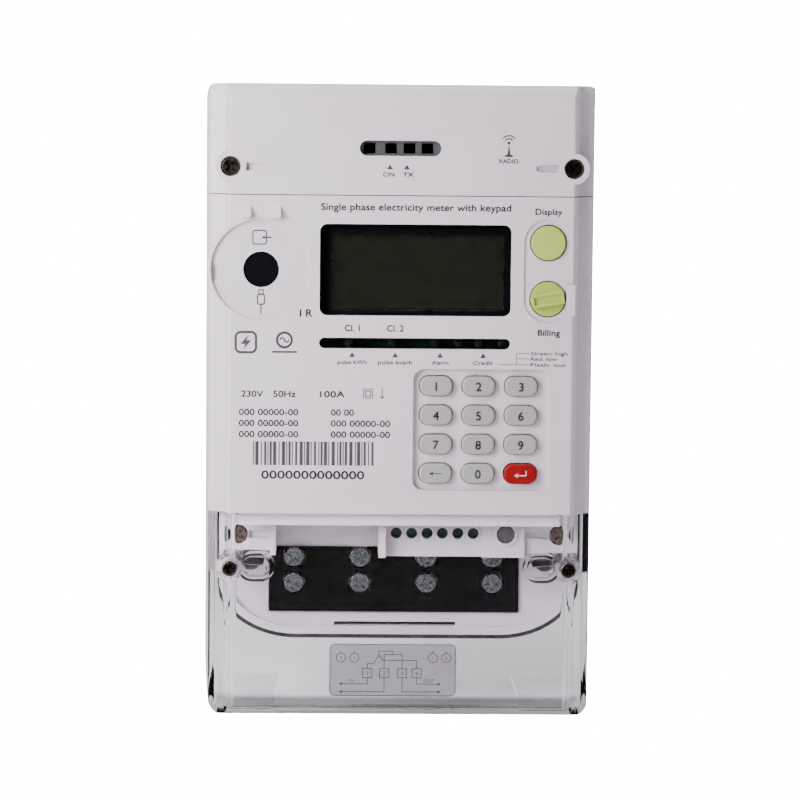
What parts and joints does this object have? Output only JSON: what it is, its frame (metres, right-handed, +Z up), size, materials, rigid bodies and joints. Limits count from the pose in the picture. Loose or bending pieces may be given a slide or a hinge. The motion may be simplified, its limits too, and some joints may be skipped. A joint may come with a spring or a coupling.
{
  "type": "prepaid electricity meter",
  "caption": "Wall-hung prepayment electricity meter: keypad, display, optical port, push and turn buttons, plug-in radio module and clear terminal cover.",
  "frame": {"origin": "on the back mounting face, at the middle of the overall width and height", "axes": "+X to the right of somebody facing the meter, +Y into the wall, +Z up"},
  "size_m": [0.13, 0.0746, 0.207],
  "materials": {
    "housing": "fine satin moulding",
    "clear_plastic": "clear polycarbonate",
    "seal_rubber": "matt black",
    "black_plastic": "satin black",
    "lcd_glass": "dark olive, unpowered",
    "light_guide": "diffuse",
    "dark_lens": "smoked gloss",
    "led_resin": "lamp resin",
    "steel": "plain",
    "dark_screw": "nickel, darkened in the recess",
    "silicone": "matt",
    "green_plastic": "satin",
    "grey_plastic": "satin",
    "brass": "turned",
    "connector_green": "dark green",
    "copper": "tinned copper",
    "board_green": "solder mask",
    "epoxy_blue": "cast resin",
    "core_steel": "laminated",
    "winding": "taped winding",
    "capacitor_sleeve": "shrink sleeve",
    "battery_sleeve": "shrink sleeve",
    "zinc_plate": "zinc plated",
    "label_film": "printed film",
    "key_grey": "satin",
    "key_red": "satin"
  },
  "bodies": {
    "meter": {"base_case": "housing", "rim_seal": "seal_rubber", "front_cover": "housing", "display_window": "clear_plastic", "lcd_bezel": "black_plastic", "lcd_panel": "lcd_glass", "backlight": "light_guide", "led_lens": "dark_lens", "pulse_leds": "led_resin", "optical_window": "dark_lens", "magnet_ring": "steel", "infrared_diodes": "dark_lens", "keypad_mat": "silicone", "cover_switch": "black_plastic", "terminal_block": "black_plastic", "terminal_clamps": "brass", "terminal_screws": "steel", "aux_terminals": "connector_green", "aux_screws": "steel", "case_screws": "dark_screw", "busbars": "copper", "main_board": "board_green", "board_screws": "steel", "display_board": "board_green", "header_pins": "black_plastic", "latching_relay": "black_plastic", "current_shunt": "copper", "current_transformer": "epoxy_blue", "power_transformer": "core_steel", "transformer_coil": "winding", "capacitors": "capacitor_sleeve", "backup_battery": "battery_sleeve", "buzzer": "black_plastic", "microchips": "black_plastic", "module_socket": "black_plastic"},
    "cover": {"terminal_cover": "clear_plastic", "cover_screws": "dark_screw", "wiring_label": "label_film"},
    "module": {"module_cover": "housing", "module_screws": "dark_screw", "module_window": "grey_plastic", "module_leds": "dark_lens", "module_board": "board_green"},
    "display_button": {"display_button": "green_plastic"},
    "billing_plunger": {"billing_plunger": "green_plastic"},
    "billing_knob": {"billing_knob": "green_plastic"},
    "tamper_plunger": {"tamper_plunger": "grey_plastic"},
    "hanging_lug": {"hanging_lug": "zinc_plate"},
    "key_1": {"key_1": "key_grey"},
    "key_2": {"key_2": "key_grey"},
    "key_3": {"key_3": "key_grey"},
    "key_4": {"key_4": "key_grey"},
    "key_5": {"key_5": "key_grey"},
    "key_6": {"key_6": "key_grey"},
    "key_7": {"key_7": "key_grey"},
    "key_8": {"key_8": "key_grey"},
    "key_9": {"key_9": "key_grey"},
    "key_back": {"key_back": "key_grey"},
    "key_0": {"key_0": "key_grey"},
    "key_enter": {"key_enter": "key_red"}
  },
  "joints": [
    {"name": "key_1_press", "type": "slide", "parent": "meter", "child": "key_1", "axis": [0, 1, 0], "range_m": [0, 0.001], "stiffness_N_per_m": 400, "springref_m": -0.0008},
    {"name": "key_2_press", "type": "slide", "parent": "meter", "child": "key_2", "axis": [0, 1, 0], "range_m": [0, 0.001], "stiffness_N_per_m": 400, "springref_m": -0.0008},
    {"name": "key_3_press", "type": "slide", "parent": "meter", "child": "key_3", "axis": [0, 1, 0], "range_m": [0, 0.001], "stiffness_N_per_m": 400, "springref_m": -0.0008},
    {"name": "key_4_press", "type": "slide", "parent": "meter", "child": "key_4", "axis": [0, 1, 0], "range_m": [0, 0.001], "stiffness_N_per_m": 400, "springref_m": -0.0008},
    {"name": "key_5_press", "type": "slide", "parent": "meter", "child": "key_5", "axis": [0, 1, 0], "range_m": [0, 0.001], "stiffness_N_per_m": 400, "springref_m": -0.0008},
    {"name": "key_6_press", "type": "slide", "parent": "meter", "child": "key_6", "axis": [0, 1, 0], "range_m": [0, 0.001], "stiffness_N_per_m": 400, "springref_m": -0.0008},
    {"name": "key_7_press", "type": "slide", "parent": "meter", "child": "key_7", "axis": [0, 1, 0], "range_m": [0, 0.001], "stiffness_N_per_m": 400, "springref_m": -0.0008},
    {"name": "key_8_press", "type": "slide", "parent": "meter", "child": "key_8", "axis": [0, 1, 0], "range_m": [0, 0.001], "stiffness_N_per_m": 400, "springref_m": -0.0008},
    {"name": "key_9_press", "type": "slide", "parent": "meter", "child": "key_9", "axis": [0, 1, 0], "range_m": [0, 0.001], "stiffness_N_per_m": 400, "springref_m": -0.0008},
    {"name": "key_back_press", "type": "slide", "parent": "meter", "child": "key_back", "axis": [0, 1, 0], "range_m": [0, 0.001], "stiffness_N_per_m": 400, "springref_m": -0.0008},
    {"name": "key_0_press", "type": "slide", "parent": "meter", "child": "key_0", "axis": [0, 1, 0], "range_m": [0, 0.001], "stiffness_N_per_m": 400, "springref_m": -0.0008},
    {"name": "key_enter_press", "type": "slide", "parent": "meter", "child": "key_enter", "axis": [0, 1, 0], "range_m": [0, 0.001], "stiffness_N_per_m": 400, "springref_m": -0.0008},
    {"name": "display_press", "type": "slide", "parent": "meter", "child": "display_button", "axis": [0, 1, 0], "range_m": [0, 0.0015], "stiffness_N_per_m": 500, "springref_m": -0.0008},
    {"name": "billing_press", "type": "slide", "parent": "meter", "child": "billing_plunger", "axis": [0, 1, 0], "range_m": [0, 0.0015], "stiffness_N_per_m": 500, "springref_m": -0.0008},
    {"name": "billing_turn", "type": "hinge", "parent": "billing_plunger", "child": "billing_knob", "pos_m": [0.0475, -0.07, 0.0344], "axis": [0, -1, 0], "range_deg": [-10, 80]},
    {"name": "tamper_press", "type": "slide", "parent": "meter", "child": "tamper_plunger", "axis": [0, 1, 0], "range_m": [0, 0.0015], "stiffness_N_per_m": 300, "springref_m": -0.0008},
    {"name": "cover_lift", "type": "slide", "parent": "meter", "child": "cover", "axis": [0, -1, 0], "range_m": [0, 0.06]},
    {"name": "module_pull", "type": "slide", "parent": "meter", "child": "module", "axis": [0, -1, 0], "range_m": [0, 0.045]},
    {"name": "lug_slide", "type": "slide", "parent": "meter", "child": "hanging_lug", "axis": [0, 0, 1], "range_m": [0, 0.014]}
  ]
}
